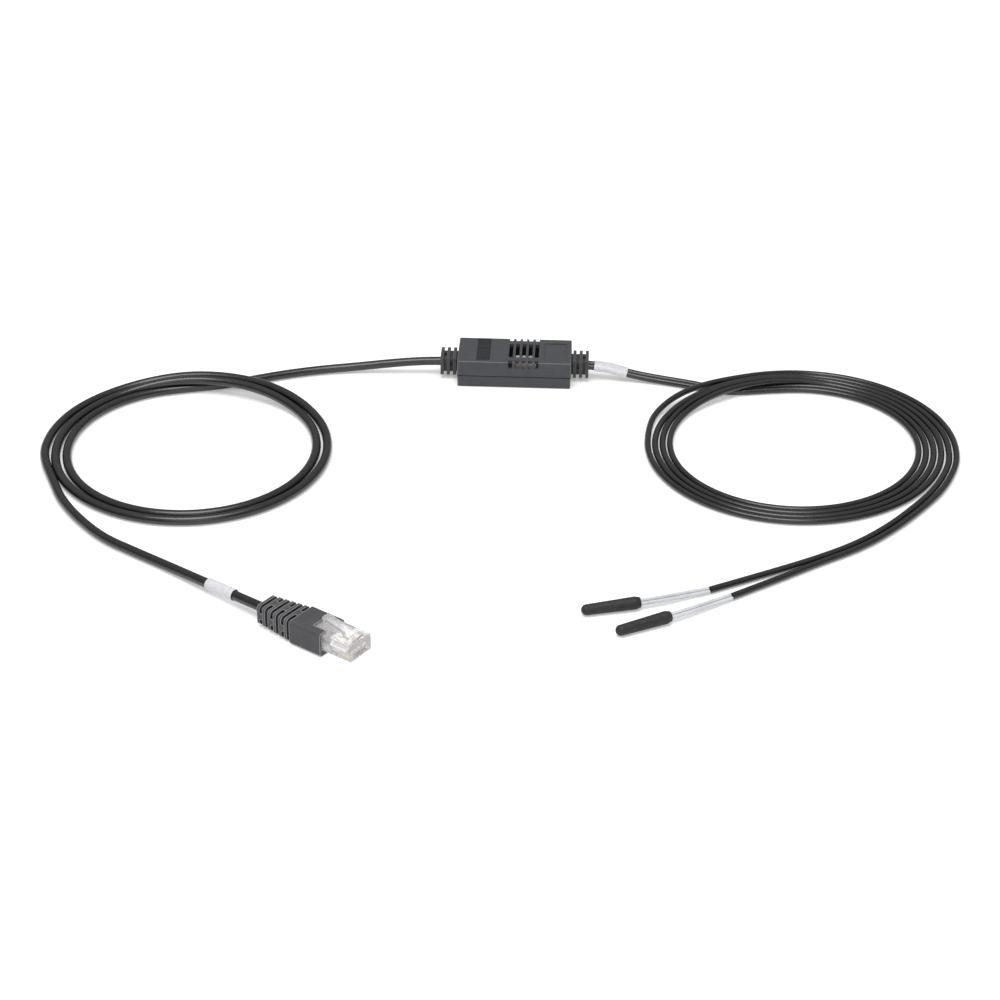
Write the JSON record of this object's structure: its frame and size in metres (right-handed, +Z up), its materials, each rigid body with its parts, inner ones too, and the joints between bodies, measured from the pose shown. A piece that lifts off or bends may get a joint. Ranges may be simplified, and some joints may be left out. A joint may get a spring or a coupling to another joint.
{
  "type": "rack temperature sensor",
  "caption": "Rack temperature sensor: small vented module between a coiled network cable with a modular plug and a coiled pair of cables with thin probe caps.",
  "frame": {"origin": "below the middle of the sensor module, on the surface that the whole set lies on", "axes": "+X along the module towards the probe cables, +Y away from the viewer, +Z up"},
  "size_m": [0.3784, 0.2438, 0.0136],
  "materials": {
    "case": "satin",
    "board": "satin",
    "chip": "matte",
    "white_parts": "satin",
    "orange_parts": "satin",
    "can": "satin",
    "resistor": "satin",
    "cores": "satin",
    "relief": "satin",
    "cable": "satin",
    "label": "satin",
    "boot": "satin",
    "clear_plug": "gloss",
    "contacts": "gloss",
    "twin_lead": "satin",
    "probe_cap": "matte",
    "bead": "gloss"
  },
  "bodies": {
    "root": {"upper_shell": "case", "lower_shell": "case", "circuit_board": "board", "controller_chip": "chip", "ambient_sensor": "white_parts", "tantalum_capacitors": "orange_parts", "filter_capacitors": "can", "chip_resistors": "resistor", "network_header": "white_parts", "probe_header": "white_parts", "network_wires": "cores", "probe_wires": "cores", "network_relief": "relief", "probe_relief": "relief", "network_lead": "cable", "network_coil": "cable", "network_tail": "cable", "network_label": "label", "plug_boot": "boot", "plug_body": "clear_plug", "plug_contacts": "contacts", "plug_conductors": "cores", "rear_probe_lead": "cable", "front_probe_lead": "cable", "probe_label": "label", "probe_coil": "cable", "rear_probe_tail": "cable", "front_probe_tail": "cable", "rear_twin_lead": "twin_lead", "front_twin_lead": "twin_lead", "rear_probe_cap": "probe_cap", "front_probe_cap": "probe_cap", "rear_thermistor": "bead", "front_thermistor": "bead"}
  },
  "joints": []
}
